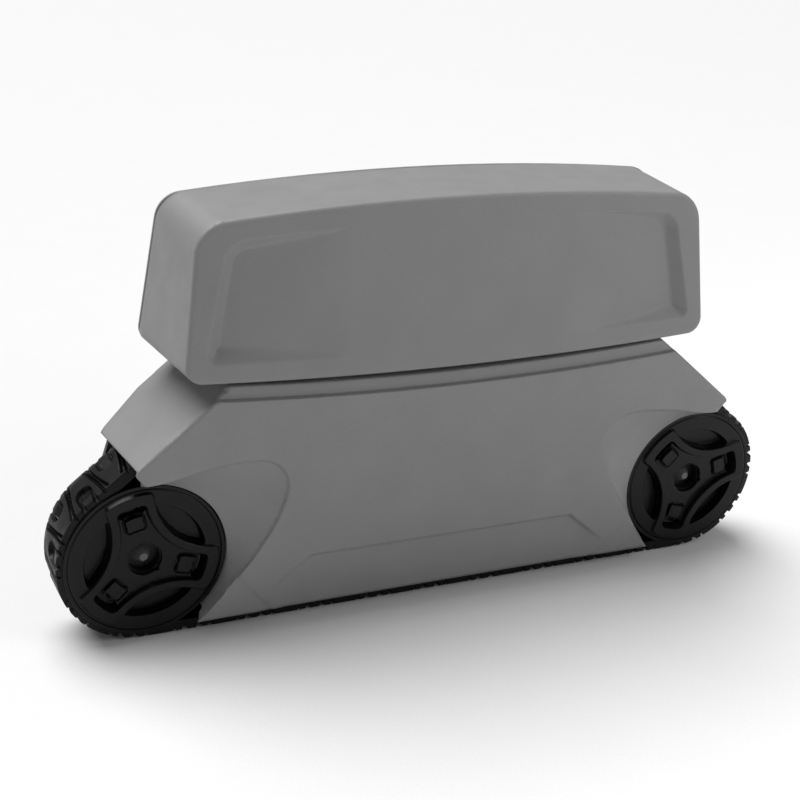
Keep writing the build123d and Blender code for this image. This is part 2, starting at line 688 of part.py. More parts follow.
def float_shell():
    shell = float_solid(0, 0, CASING_DEPTH) - leaning_front(0)
    hollow = float_solid(FLOAT_WALL, 1, CASING_DEPTH) - leaning_front(FLOAT_SCOOP + FLOAT_WALL)
    shell -= hollow
    for x, z in float_screw_points():
        shell += disc(x, z, SCREW_R + 3, FLOAT_WALL, CASING_DEPTH)
        shell -= disc(x, z, SCREW_R, FLOAT_SCREW_NEAR, CASING_DEPTH)
    shell -= leaning_front(0)
    shell -= float_scoops()
    for x, y in bracket_screw_points():
        shell -= Pos(x, y, FLOAT_LOW_MIDDLE) * Cylinder(BRACKET_SCREW_R, 20)
    return shell


def float_screw_points():
    return [(x, z) for x in (-170, 0, 170) for z in (205, 275)]


def float_foam():
    foam = float_solid(FLOAT_WALL + 1, 2, CASING_DEPTH) - leaning_front(FLOAT_SCOOP + FLOAT_WALL + 1)
    for x, z in float_screw_points():
        foam -= disc(x, z, SCREW_R + 4, 0, CASING_DEPTH)
    for x, y in bracket_screw_points():
        foam -= Pos(x, y, FLOAT_LOW_MIDDLE) * Cylinder(BRACKET_SCREW_R + 3, 40)
    return foam


def float_back():
    back = extruded(float_outline(0, 1), CASING_DEPTH, DEPTH)
    for x, z in float_screw_points():
        back -= disc(x, z, SCREW_R, CASING_DEPTH, DEPTH)
    return back


def float_back_screws():
    points = float_screw_points()
    return [screw(x, z, DEPTH, CASING_DEPTH - 15, head_r=SCREW_R, head=1) for x, z in points]


def float_bracket(side):
    """A foot that fills the gap between the casing's deck and the float."""
    face = Pos(side * BRACKET_X, FLOAT_LOW_MIDDLE) * Rectangle(2 * BRACKET_HALF, BRACKET_HIGH)
    block = extruded(face, *BRACKET_DEPTHS)
    block -= extruded(casing_outline(), 0, CASING_DEPTH)
    block -= float_solid(0, 0, CASING_DEPTH)
    for x, y in bracket_screw_points():
        block -= Pos(x, y, FLOAT_LOW_MIDDLE) * Cylinder(BRACKET_SCREW_R, 30)
    return block


def float_bracket_screws():
    low = DECK_MIDDLE - BRACKET_SCREW_HEAD
    screws = []
    for x, y in bracket_screw_points():
        shank = Pos(x, y, low) * Cylinder(BRACKET_SCREW_R, 14, align=(Align.CENTER, Align.CENTER, Align.MIN))
        top = (Align.CENTER, Align.CENTER, Align.MAX)
        head = Pos(x, y, low) * Cylinder(2 * BRACKET_SCREW_R, 2.5, align=top)
        screws.append(shank + head)
    return screws


save("side_casing", side_casing())
save("inner_plate", inner_plate())
save("casing_screws", *casing_screws())
save("gear_cover", gear_cover())
save("gear_cover_screws", *gear_cover_screws())
save("shaft_seal", shaft_seal())
save("pinion_bushes", *pinion_bushes())
save("drive_bush_outer", drive_bush(SHAFT_NEAR, ARCH_DEPTH))
save("drive_bush_inner", drive_bush(PLATE_DEPTH, PLATE_BACK))
save("drive_shaft", drive_shaft())
save("drive_circlip", drive_circlip())
save("drive_pulley", drive_pulley())
save("drive_gear", drive_gear())
save("drive_pinion", drive_pinion())
save("idler_axle", idler_axle())
save("idler_pulley", idler_pulley())
save("idler_bushes", *idler_bushes())
save("roller_axles", *roller_axles())
for number, roller_x in enumerate(ROLLER_X, start=1):
    save(f"support_roller_{number}", support_roller(roller_x))
save("track_belt", track_belt())
for wheel, wheel_side in WHEEL_SIDES.items():
    save(f"{wheel}_wheel_drum", wheel_drum(wheel_side))
    save(f"{wheel}_wheel_cap", wheel_cap(wheel))
    save(f"{wheel}_wheel_latches", *wheel_latches(wheel))
    save(f"{wheel}_wheel_bearings", *wheel_bearings(wheel_side))
    save(f"{wheel}_axle", wheel_axle(wheel_side))
save("axle_washers", *axle_washers())
save("axle_screws", *axle_screws())
save("float_shell", float_shell())
save("float_foam", float_foam())
save("float_back", float_back())
save("float_back_screws", *float_back_screws())
save("float_bracket_front", float_bracket(-1))
save("float_bracket_rear", float_bracket(1))
save("float_bracket_screws", *float_bracket_screws())
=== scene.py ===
"""Looks of the pool cleaner's side drive unit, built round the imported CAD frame.

Shapes are worked out in millimetres, as X, depth behind the casing's outer face, and Z.
placed() turns them into the frame's metres.
"""
import json
import math

import bmesh
import bpy
import numpy as np
from mathutils import Matrix, Vector
from mathutils.geometry import delaunay_2d_cdt


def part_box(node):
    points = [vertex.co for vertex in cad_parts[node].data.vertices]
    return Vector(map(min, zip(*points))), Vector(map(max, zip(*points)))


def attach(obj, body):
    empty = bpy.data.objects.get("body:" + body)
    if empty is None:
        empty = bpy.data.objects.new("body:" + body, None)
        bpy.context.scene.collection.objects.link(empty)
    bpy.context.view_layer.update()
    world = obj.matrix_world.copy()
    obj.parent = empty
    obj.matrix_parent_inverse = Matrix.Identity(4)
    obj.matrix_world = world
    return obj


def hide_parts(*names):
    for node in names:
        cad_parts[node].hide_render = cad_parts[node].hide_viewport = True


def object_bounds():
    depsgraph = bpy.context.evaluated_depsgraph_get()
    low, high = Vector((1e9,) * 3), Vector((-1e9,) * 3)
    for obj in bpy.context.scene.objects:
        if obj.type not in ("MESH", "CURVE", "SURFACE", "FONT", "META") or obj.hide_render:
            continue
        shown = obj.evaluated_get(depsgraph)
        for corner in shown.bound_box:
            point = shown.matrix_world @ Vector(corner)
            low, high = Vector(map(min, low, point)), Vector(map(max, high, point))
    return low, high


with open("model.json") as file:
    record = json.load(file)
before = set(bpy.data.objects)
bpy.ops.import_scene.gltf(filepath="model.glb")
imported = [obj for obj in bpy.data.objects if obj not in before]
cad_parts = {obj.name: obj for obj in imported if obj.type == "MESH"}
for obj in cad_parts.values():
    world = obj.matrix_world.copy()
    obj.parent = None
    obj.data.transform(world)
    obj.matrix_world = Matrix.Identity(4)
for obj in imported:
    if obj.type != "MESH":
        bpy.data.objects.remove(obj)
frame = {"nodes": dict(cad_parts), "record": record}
CAD_BOX = [list(corner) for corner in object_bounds()]
MM = 0.001
NEAR = CAD_BOX[0][1] / MM


def box_mm(node):
    """A node's box in millimetres, with depths in place of Y."""
    low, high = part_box(node)
    low = [low[0] / MM, low[1] / MM - NEAR, low[2] / MM]
    high = [high[0] / MM, high[1] / MM - NEAR, high[2] / MM]
    return low, high


def middle_xz(node):
    low, high = box_mm(node)
    return (low[0] + high[0]) / 2, (low[2] + high[2]) / 2


# Driving sizes, from the frame
WHEEL_X, WHEEL_Z = middle_xz("rear_axle")
CAP_LOW, CAP_HIGH = box_mm("rear_wheel_cap")
FLANGE = 2.4                # how far the cap's back flange stands out round its face
FLANGE_R = (CAP_HIGH[2] - CAP_LOW[2]) / 2
CAP_R = FLANGE_R - FLANGE
CAP_THICK = 3.2
CAP_DEPTH, CAP_BACK = CAP_LOW[1], CAP_LOW[1] + CAP_THICK
TRACK_LOW, TRACK_HIGH = box_mm("track_belt")
TRACK_R = TRACK_HIGH[0] - WHEEL_X
TRACK_NEAR, TRACK_FAR = TRACK_LOW[1], TRACK_HIGH[1]
DECK_FAR = box_mm("side_casing")[1][1]
FLOAT_FAR = box_mm("float_shell")[1][1]
PULLEY_X, PULLEY_Z = middle_xz("drive_pulley")
PULLEY_LOW, PULLEY_HIGH = box_mm("drive_pulley")
DRUM_LOW, DRUM_HIGH = box_mm("rear_wheel_drum")
DRUM_R = (DRUM_HIGH[2] - DRUM_LOW[2]) / 2
SPACE = 0.3                 # between the belt and what it runs on
BELT_THICK = TRACK_R - DRUM_R - SPACE
PULLEY_R = (PULLEY_HIGH[2] - PULLEY_LOW[2]) / 2 + SPACE + BELT_THICK

SHARP_ANGLE = 35            # edges sharper than this many degrees stay sharp in the shading

# Casing
WALL = 2.3
SLOPE = math.radians(39.7)
COVER_REACH = 63.9
SLOPE_END = 36.3
TIP_CUT = 11.7
ARCH_R = 56.3
ARCH_DEPTH = 16.0
ARCH_OPENS = 4.2            # how much wider the arch gets at the panel's tip
ARCH_OPENS_FROM, ARCH_OPENS_OVER = 216, 26      # in degrees
LINE_MIDDLE = 170.2         # the lit line along the top of the outer face
LINE_END = 176.9
LINE_HALF = 175.3
DECK_HALF = 164.4
STRIP = 9.0                 # height of the set-back strip over that line
LEDGE = 3.2
STRIP_LEAN = 0.2
TUCK = 9.5                  # how far the lower part of the face curves inwards
TUCK_TOP = 95.0
PANEL_BOTTOM = 9.6
PANEL_TIP = (181.0, 8.8)
CREASE_Z = 54.0
CREASE_HALF = 103.0
CREASE_FALL = 0.84
CREASE_STEP = 2.3
COVER_FAR_LOW = 75.0        # the end covers reach less far back at their lower ends
COVER_FAR_HIGH = 92.0
COVER_LONG = 50.0
ARCH_LIP = 8.0              # how far the arches' edges turn back
SCOOP_LIP = 1.7
COVER_SLANT = 6.5           # and their lower edges slant down towards the far side
NOTCH_Z = 165.0
HOOD_STEPS, ARCH_STEPS = 12, 3
# The scoop's edge round the wheel, as angles in degrees and distances from the wheel's axis
SCOOP_ANGLES = [80, 98, 114, 126, 133, 140, 145, 151, 160, 173, 191, 219, 236, 245]
SCOOP_RADII = [63.0, 65.0, 75.3, 88.7, 99.0, 107.6, 109.8, 107.5, 95.8, 79.2, 65.2, 58.9, 62.0, 64.0]


def smooth(t):
    """0 below 0, 1 above 1, with a soft start and end."""
    t = np.clip(t, 0, 1)
    return t * t * (3 - 2 * t)


def edge_round(distance, radius):
    """How far a rounded edge has fallen away at this distance inside it."""
    gap = np.clip(radius - distance, 0, radius)
    return radius - np.sqrt(np.maximum(radius ** 2 - gap ** 2, 0))


def soft_min(a, b, width):
    """The smaller of two values, blended where they are close."""
    blend = np.clip(0.5 + 0.5 * (b - a) / width, 0, 1)
    return b * (1 - blend) + a * blend - width * blend * (1 - blend)


def curve_through(knots, values, at):
    """A smooth curve through the values at the knots."""
    knots, values, at = np.asarray(knots, float), np.asarray(values, float), np.asarray(at, float)
    slopes = np.gradient(values, knots)
    at = np.clip(at, knots[0], knots[-1])
    index = np.clip(np.searchsorted(knots, at, side="right") - 1, 0, len(knots) - 2)
    width = knots[index + 1] - knots[index]
    t = (at - knots[index]) / width
    start, end = values[index], values[index + 1]
    lean_in, lean_out = slopes[index] * width, slopes[index + 1] * width
    return ((2 * t ** 3 - 3 * t ** 2 + 1) * start + (t ** 3 - 2 * t ** 2 + t) * lean_in
            + (3 * t ** 2 - 2 * t ** 3) * end + (t ** 3 - t ** 2) * lean_out)


def inside_distance(points, outline):
    """How far each point is inside a closed outline, negative outside."""
    points, start = np.asarray(points, float), np.asarray(outline, float)
    end = np.roll(start, -1, axis=0)
    edge = end - start
    length = np.maximum((edge ** 2).sum(1), 1e-12)
    result = []
    for chunk in np.array_split(points, max(1, len(points) // 3000)):
        away = chunk[:, None, :] - start
        along = np.clip((away * edge).sum(2) / length, 0, 1)
        nearest = np.sqrt(((away - along[..., None] * edge) ** 2).sum(2)).min(1)
        above = (start[:, 1] > chunk[:, None, 1]) != (end[:, 1] > chunk[:, None, 1])
        rise = np.where(edge[:, 1] == 0, 1e-12, edge[:, 1])
        crossing = start[:, 0] + (chunk[:, None, 1] - start[:, 1]) * edge[:, 0] / rise
        inside = (above & (chunk[:, None, 0] < crossing)).sum(1) % 2 == 1
        result.append(np.where(inside, nearest, -nearest))
    return np.concatenate(result)


def rounded(corners, radii, steps=6):
    """A closed outline with its corners rounded."""
    points = []
    count = len(corners)
    for index, (corner, radius) in enumerate(zip(corners, radii)):
        here = Vector(corner)
        before = (Vector(corners[index - 1]) - here).normalized()
        after = (Vector(corners[(index + 1) % count]) - here).normalized()
        half = before.angle(after) / 2
        reach = radius / math.tan(half)
        centre = here + (before + after).normalized() * (radius / math.sin(half))
        start, end = here + before * reach - centre, here + after * reach - centre
        turn = start.angle_signed(end)
        for step in range(steps + 1):
            share = Matrix.Rotation(-turn * step / steps, 2)
            points.append(tuple(centre + share @ start))
    return points


def resampled(outline, spacing):
    """The closed outline with points added so that no side is much longer than the spacing."""
    points = []
    for start, end in zip(outline, outline[1:] + outline[:1]):
        length = math.dist(start, end)
        if length < 1e-4:
            continue
        count = max(1, round(length / spacing))
        for step in range(count):
            share = step / count
            points.append((start[0] + (end[0] - start[0]) * share, start[1] + (end[1] - start[1]) * share))
    return points


def triangles_inside(outline, spacing, extra=()):
    """Points and triangles that fill an outline: a staggered grid plus any extra points."""
    low, high = np.min(outline, axis=0), np.max(outline, axis=0)
    rows = []
    for index, z in enumerate(np.arange(low[1] + spacing / 2, high[1], spacing * 0.87)):
        shift = spacing / 2 if index % 2 else 0
        xs = np.arange(low[0] + shift, high[0], spacing)
        rows.append(np.column_stack([xs, np.full_like(xs, z)]))
    grid = np.concatenate(rows)
    grid = grid[inside_distance(grid, outline) > spacing * 0.45]
    points = [tuple(point) for point in outline]
    if len(extra):
        extra = np.asarray(extra, float)
        extra = extra[inside_distance(extra, outline) > 0.05]
        points += [tuple(point) for point in extra]
    points += [tuple(point) for point in grid]
    count = len(outline)
    sides = [(index, (index + 1) % count) for index in range(count)]
    found = delaunay_2d_cdt([Vector(point) for point in points], sides, [], 1, 1e-4)
    return np.array([tuple(vert) for vert in found[0]]), [tuple(face) for face in found[2]]


def placed(x, depth, z):
    return (x * MM, (NEAR + depth) * MM, z * MM)


def piece_from(name, verts, faces):
    """A smooth-shaded object from millimetre points (x, depth, z)."""
    mesh = bpy.data.meshes.new(name)
    mesh.from_pydata([placed(*vert) for vert in verts], [], faces)
    mesh.validate()
    mesh.shade_smooth()
    mesh.set_sharp_from_angle(angle=math.radians(SHARP_ANGLE))
    piece = bpy.data.objects.new(name, mesh)
    bpy.context.scene.collection.objects.link(piece)
    return piece


def face_outwards(piece):
    """Turns the faces of a closed or nearly closed mesh outwards."""
    work = bmesh.new()
    work.from_mesh(piece.data)
    bmesh.ops.recalc_face_normals(work, faces=work.faces)
    work.to_mesh(piece.data)
    work.free()


def thickened(piece, thickness):
    """Gives an open skin this wall thickness in millimetres, inwards."""
    wall = piece.modifiers.new("wall", "SOLIDIFY")
    wall.thickness = thickness * MM
    wall.offset = -1


def add_wall(verts, faces, chain, ends, steps, closed=False):
    """Adds a wall that runs from a chain of vertices straight to their end points."""
    columns = []
    for index, end in zip(chain, ends):
        start = verts[index]
        column = [index]
        for step in range(1, steps + 1):
            share = step / steps
            verts.append(tuple(first + (last - first) * share for first, last in zip(start, end)))
            column.append(len(verts) - 1)
        columns.append(column)
    after = columns[1:] + columns[:1] if closed else columns[1:]
    for left, right in zip(columns, after):
        for step in range(steps):
            faces.append((left[step], right[step], right[step + 1], left[step + 1]))


# Casing

def deck_line(x):
    """The height of the lit line along the top of the outer face."""
    return LINE_MIDDLE + (LINE_END - LINE_MIDDLE) * (np.abs(x) / LINE_HALF) ** 2


def slope_point(up, reach):
    """This far up the sloping end, at this reach from the wheel's axis."""
    x = WHEEL_X + reach * math.sin(SLOPE) - up * math.cos(SLOPE)
    z = WHEEL_Z + reach * math.cos(SLOPE) + up * math.sin(SLOPE)
    return x, z


def up_slope(x, z):
    """How far up the sloping end a point lies, from the slope's lower end."""
    return -(np.abs(x) - WHEEL_X) * math.cos(SLOPE) + (z - WHEEL_Z) * math.sin(SLOPE) - SLOPE_END


def below_slope(x, z):
    """How far a point lies beneath the sloping end's surface."""
    return COVER_REACH - ((np.abs(x) - WHEEL_X) * math.sin(SLOPE) + (z - WHEEL_Z) * math.cos(SLOPE))


def scoop_edge(angle):
    return curve_through(SCOOP_ANGLES, SCOOP_RADII, angle)


def arch_edge(angle):
    """The arch's radius: a circle that opens towards the panel's lower tip."""
    return ARCH_R + ARCH_OPENS * smooth((angle - ARCH_OPENS_FROM) / ARCH_OPENS_OVER)


def polar_point(angle, radius):
    angle = math.radians(angle)
    return WHEEL_X + radius * math.cos(angle), WHEEL_Z + radius * math.sin(angle)


def casing_outline():
    """The outer face's outline, with the two wheel arches."""
    deck = float(deck_line(DECK_HALF)) + STRIP
    corner_x = WHEEL_X + (COVER_REACH - (deck - WHEEL_Z) * math.cos(SLOPE)) / math.sin(SLOPE)
    tip = slope_point(SLOPE_END, COVER_REACH - TIP_CUT)
    arch = [polar_point(angle, float(arch_edge(angle))) for angle in range(86, 232, 3)]
    half = [(x, float(deck_line(x)) + STRIP) for x in np.arange(2, corner_x - 1, 4)]
    corners = [(100, deck), (corner_x, deck), slope_point(SLOPE_END, COVER_REACH), tip, arch[0]]
    ends = rounded(corners, [0.01, 2.5, 4.0, 2.0, 0.01])
    half += [point for point in ends if point[0] > corner_x - 3 and point[1] > arch[0][1] + 0.2]
    half += arch
    half += [PANEL_TIP, (PANEL_TIP[0] - 2.5, PANEL_TIP[1] + 0.1)]
    half += [(x, PANEL_BOTTOM) for x in (165, 0.5)]
    mirrored = [(-x, z) for x, z in reversed(half)]
    return resampled(half + mirrored, 1.6)


def casing_depth(x, z):
    """How deep the outer skin lies, with its tuck, crease, scoops, set-back strip and rounded edges."""
    x, z = np.abs(x), np.asarray(z)
    depth = TUCK * np.clip((TUCK_TOP - z) / (TUCK_TOP - PANEL_BOTTOM), 0, 1) ** 2
    crease = CREASE_Z - CREASE_FALL * np.clip(x - CREASE_HALF, 0, None)
    below = (crease - z) * np.where(x > CREASE_HALF, 0.77, 1.0)
    depth += CREASE_STEP * smooth(below / 2.6) * (1 - smooth((x - 112) / 30))

    away_x, away_z = x - WHEEL_X, z - WHEEL_Z
    radius = np.hypot(away_x, away_z)
    angle = np.degrees(np.arctan2(away_z, away_x)) % 360
    edge, arch = scoop_edge(angle), arch_edge(angle)
    share = np.clip((edge - radius) / np.maximum(edge - arch, 0.5), 0, 1)
    lip = SCOOP_LIP * smooth((edge - radius) / 2.0)
    scoop = depth + lip + (ARCH_DEPTH - depth - lip) * share ** 1.35
    depth = np.where((radius < edge) & (angle > 78) & (angle < 250), scoop, depth)

    over = z - deck_line(x)
    strip = LEDGE * smooth((over + 0.3) / 0.9) + STRIP_LEAN * np.clip(over - 0.4, 0, None)
    depth += strip + 0.5 * edge_round(-over, 1.4) * (over < 0)
    depth += edge_round(STRIP - over, 1.5)
    depth += edge_round(below_slope(x, z), 2.2)
    depth += edge_round(np.where(radius > ARCH_R + 3, up_slope(x, z), 9), 1.0)
    bottom = np.where(z < 30, z - PANEL_BOTTOM + 0.9, 9)
    return depth + edge_round(bottom, 1.6)


def casing_rows():
    """Extra points along the narrow features, so that the mesh follows them."""
    rows = []
    xs = np.arange(-172, 172, 1.5)
    overs = (-1.4, -0.9, -0.4, -0.1, 0.2, 0.6, 1.2, STRIP - 1.4, STRIP - 0.8, STRIP - 0.3)
    for over in overs:
        rows.append(np.column_stack([xs, deck_line(xs) + over]))
    for side in (-1, 1):
        for inset in (0.25, 0.7, 1.3, 2.1):
            points = [slope_point(up, COVER_REACH - inset) for up in np.arange(SLOPE_END, 112, 1.5)]
            rows.append(np.array([(side * x, z) for x, z in points]))
        for inset in (-0.6, 0.3, 1.0, 1.9):
            points = [polar_point(angle, float(scoop_edge(angle)) - inset) for angle in range(92, 238, 1)]
            rows.append(np.array([(side * x, z) for x, z in points]))
        for inset in (0.4, 1.2):
            points = [polar_point(angle, float(arch_edge(angle)) + inset) for angle in range(90, 232, 2)]
            rows.append(np.array([(side * x, z) for x, z in points]))
    for drop in (-0.4, 0.6, 1.4, 2.2, 3.0):
        rows.append(np.array([(x, CREASE_Z - drop) for x in np.arange(-CREASE_HALF, CREASE_HALF, 1.5)]))
        for side in (-1, 1):
            fall = np.arange(0, 38, 1.2)
            height = CREASE_Z - drop - CREASE_FALL * fall
            rows.append(np.column_stack([side * (CREASE_HALF + fall), height]))
    return np.concatenate(rows)


def hood_far(x, z):
    """How deep the end covers and the deck reach: slanting, and stepped under the float."""
    up = float(up_slope(x, z))
    far = COVER_FAR_LOW + (COVER_FAR_HIGH - COVER_FAR_LOW) * up / COVER_LONG
    far = min(far, DECK_FAR + 1.5) if z < NOTCH_Z else DECK_FAR + 2
    return far - float(edge_round(up, 8.0))


def hood_end(x, z):
    """Where the hood ends behind an edge point: lower and further out near the end covers' lower ends."""
    down = COVER_SLANT * max(0.0, 1 - max(float(up_slope(x, z)), 0) / COVER_LONG)
    return x + math.copysign(down * math.cos(SLOPE), x), hood_far(x, z), z - down * math.sin(SLOPE)


def add_casing(material):
    outline = casing_outline()
    points, faces = triangles_inside(outline, 2.2, casing_rows())
    depths = casing_depth(points[:, 0], points[:, 1])
    verts = [(x, depth, z) for (x, z), depth in zip(points, depths)]

    def on_hood(index):
        x, z = points[index]
        return below_slope(x, z) < 0.4 or z - float(deck_line(x)) > STRIP - 0.4

    def on_arch(index, side):
        x, z = points[index]
        away_x, away_z = side * x - WHEEL_X, z - WHEEL_Z
        angle = math.degrees(math.atan2(away_z, away_x)) % 360
        return 92 < angle < 228 and abs(math.hypot(away_x, away_z) - float(arch_edge(angle))) < 0.4

    hood = [index for index in range(len(outline)) if on_hood(index)]
    hood.sort(key=lambda index: points[index][0])
    add_wall(verts, faces, hood, [hood_end(*points[index]) for index in hood], HOOD_STEPS)
    for side in (-1, 1):
        arch = [index for index in range(len(outline)) if on_arch(index, side)]
        ends = [(points[index][0], ARCH_DEPTH + ARCH_LIP, points[index][1]) for index in arch]
        add_wall(verts, faces, arch, ends, ARCH_STEPS)
    casing = piece_from("casing", verts, faces)
    face_outwards(casing)
    thickened(casing, WALL)
    casing.data.materials.append(material)
    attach(casing, "side_unit")
    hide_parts("side_casing")
    return casing


# Float

FLOAT_LEAN = 13.0
FLOAT_LEAN_FROM = 186.0
FLOAT_ROUND = 2.8
FLOAT_WALL = 1.8
FLOAT_CROWN = 9.6           # how much the top and bottom lines bow in the middle
FLOAT_SAG = 6.0
FLOAT_BOW_HALF = 190.0
FLOAT_LOW_Z, FLOAT_TOP_Z = 189.4, 290.2
FLOAT_LOW_HALF, FLOAT_TOP_HALF = 196.0, 185.5
FLOAT_LOW_R, FLOAT_TOP_R = 11.0, 20.0
FLOAT_SPREAD = (6.8, 3.2, 1.5, 0.0)     # how much wider, wider at the top, lower and higher the far side is
SIDE_STEPS, LONG_STEPS, CORNER_STEPS, WALL_STEPS = 42, 210, 10, 16
RECESS_LOW, RECESS_TOP = (182.7, 202.0), (166.5, 277.4)
RECESS_LOW_R, RECESS_TOP_R = 6.0, 15.0
RECESS_DEPTH = 6.8
RECESS_SLOPE = 0.78
RECESS_START = 86.0
RECESS_END = 172.0


def crowned(points):
    """Bows straight top and bottom lines into the float's shallow curves."""
    result = []
    for x, z in points:
        share = (z - FLOAT_LOW_Z) / (FLOAT_TOP_Z - FLOAT_LOW_Z)
        bow = -FLOAT_SAG + (FLOAT_SAG + FLOAT_CROWN) * share
        result.append((x, z + bow * (1 - (x / FLOAT_BOW_HALF) ** 2)))
    return result


def crowned_box(low, top, low_radius, top_radius):
    """A crowned outline through a lower and an upper corner, always with the same number of points."""
    corners = [low, top, (-top[0], top[1]), (-low[0], low[1])]
    arcs = rounded(corners, [low_radius, top_radius, top_radius, low_radius], CORNER_STEPS)
    points = []
    for corner in range(4):
        first = corner * (CORNER_STEPS + 1)
        points += arcs[first:first + CORNER_STEPS]
        start, end = arcs[first + CORNER_STEPS], arcs[(first + CORNER_STEPS + 1) % len(arcs)]
        steps = LONG_STEPS if corner % 2 else SIDE_STEPS
        for step in range(steps):
            share = step / steps
            points.append((start[0] + (end[0] - start[0]) * share, start[1] + (end[1] - start[1]) * share))
    return crowned(points)


def float_outline(inset=0.0, far=0.0):
    """The float's outline, this far inside its edge, from its near side (0) to its far side (1)."""
    wider, top_wider, lower, higher = [size * far for size in FLOAT_SPREAD]
    low = (FLOAT_LOW_HALF + wider - inset, FLOAT_LOW_Z - lower + inset)
    top = (FLOAT_TOP_HALF + top_wider - inset, FLOAT_TOP_Z + higher - inset)
    return crowned_box(low, top, FLOAT_LOW_R - 2 * far - inset / 2, FLOAT_TOP_R - far - inset / 2)


def recess_outline(inset=0.0):
    low = (RECESS_LOW[0] - inset, RECESS_LOW[1] + inset)
    top = (RECESS_TOP[0] - inset, RECESS_TOP[1] - inset)
    return crowned_box(low, top, max(2.0, RECESS_LOW_R - inset / 2), RECESS_TOP_R - inset / 2)


def float_depth(points, outline, recess):
    x, z = np.abs(points[:, 0]), points[:, 1]
    lean = FLOAT_LEAN * np.clip((z - FLOAT_LEAN_FROM) / (FLOAT_TOP_Z - FLOAT_LEAN_FROM), 0, 1.2)
    inside = inside_distance(points, recess)
    hollow = RECESS_DEPTH * np.clip((x - RECESS_START) / (RECESS_END - RECESS_START), 0, 1)
    dip = soft_min(hollow, RECESS_SLOPE * np.clip(inside, 0, None), 1.0)
    dip = np.where(inside > 0, np.clip(dip, 0, None), 0)
    edge = edge_round(inside_distance(points, outline), FLOAT_ROUND)
    return lean + dip + edge


def add_float(material):
    outline, far_outline = float_outline(), float_outline(far=1.0)
    rows = [float_outline(inset) for inset in (0.15, 0.5, 1.1, 1.9, 2.8)]
    rows += [recess_outline(inset) for inset in (-0.6, 0.2, 0.9)]
    rows += [recess_outline(RECESS_DEPTH / RECESS_SLOPE + inset) for inset in (-1, 0, 1)]
    points, faces = triangles_inside(outline, 2.6, np.concatenate([np.array(row) for row in rows]))
    depths = float_depth(points, outline, recess_outline())
    verts = [(x, depth, z) for (x, z), depth in zip(points, depths)]
    ends = [(x, FLOAT_FAR, z) for x, z in far_outline]
    add_wall(verts, faces, range(len(ends)), ends, WALL_STEPS, closed=True)
    shell = piece_from("float_cover", verts, faces)
    face_outwards(shell)
    thickened(shell, FLOAT_WALL)
    shell.data.materials.append(material)
    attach(shell, "side_unit")
    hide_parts("float_shell")
    return shell


# Track

PERIODS = 28                # tread blocks along each edge
STEPS = 80                  # mesh steps in each
BLOCK_HALF = 12.0
BLOCK_TAPER = 7.5
CUT_WIDTH = 1.7
CUT_DEPTH = 3.4
LOOP_HALF = 5.2             # the U-shaped cut in each block
LOOP_LONG = 20.0
LOOP_CUT = 1.15
EDGE_FLARE = 0.9            # how much the loops widen at the belt's edge
FAR_SHALLOW = 0.7           # how much shallower the cuts are at the far edge
CROWN_NEAR, CROWN_FAR = 0.2, 2.4        # the tread falls away towards its edges
CROWN_LONG = 11.0
GUIDE_HALF = 3.0
GUIDE_HIGH = 2.5


def track_path():
    """Points round the loop at the lug tips and the way each faces, with the length of one tread period."""
    away = math.hypot(WHEEL_X - PULLEY_X, PULLEY_Z - WHEEL_Z)
    lean = math.atan2(PULLEY_Z - WHEEL_Z, PULLEY_X - WHEEL_X)
    slope = lean - math.acos((TRACK_R - PULLEY_R) / away)
    quarter = math.pi / 2
    circles = [(WHEEL_X, WHEEL_Z, TRACK_R, -quarter, slope),
               (PULLEY_X, PULLEY_Z, PULLEY_R, slope, quarter),
               (-PULLEY_X, PULLEY_Z, PULLEY_R, quarter, math.pi - slope),
               (-WHEEL_X, WHEEL_Z, TRACK_R, math.pi - slope, 3 * quarter)]
    path = [(0.0, WHEEL_Z - TRACK_R, -quarter)]
    for x, z, radius, start, end in circles:
        for turn in np.linspace(start, end, 120):
            path.append((x + radius * math.cos(turn), z + radius * math.sin(turn), turn))
    path.append((0.0, WHEEL_Z - TRACK_R, 3 * quarter))
    path = np.array(path)
    along = np.concatenate([[0], np.cumsum(np.hypot(*np.diff(path[:, :2], axis=0).T))])
    places = np.arange(0, PERIODS * STEPS) * along[-1] / (PERIODS * STEPS)
    return [np.interp(places, along, path[:, column]) for column in range(3)], along[-1] / PERIODS


def groove(distance, half):
    """1 inside a groove this wide, 0 outside, with a steep soft wall."""
    return 1 - smooth((np.abs(distance) - half) / 0.8 + 0.5)


def block_cuts(u, v, width):
    """Tread depth from one edge's blocks: u along from a block's middle, v in from the edge."""
    half = BLOCK_HALF - BLOCK_TAPER * (v / width) ** 1.5
    beside = groove(np.abs(u) - half - CUT_WIDTH / 2, CUT_WIDTH / 2) * (v < width - 1.4)
    end = LOOP_LONG - LOOP_HALF
    loop = np.where(v < end, np.abs(u) - LOOP_HALF, np.hypot(u, v - end) - LOOP_HALF)
    cut = groove(loop, LOOP_CUT + EDGE_FLARE * np.clip(1 - v / 4, 0, 1))
    tongue = CUT_DEPTH * np.clip(v / (LOOP_LONG - 4), 0, 1) ** 1.6 * smooth((-loop - LOOP_CUT + 0.5) / 0.8)
    inside = np.abs(u) < half
    return np.maximum(beside * CUT_DEPTH, np.where(inside, np.maximum(cut * CUT_DEPTH, tongue), 0))


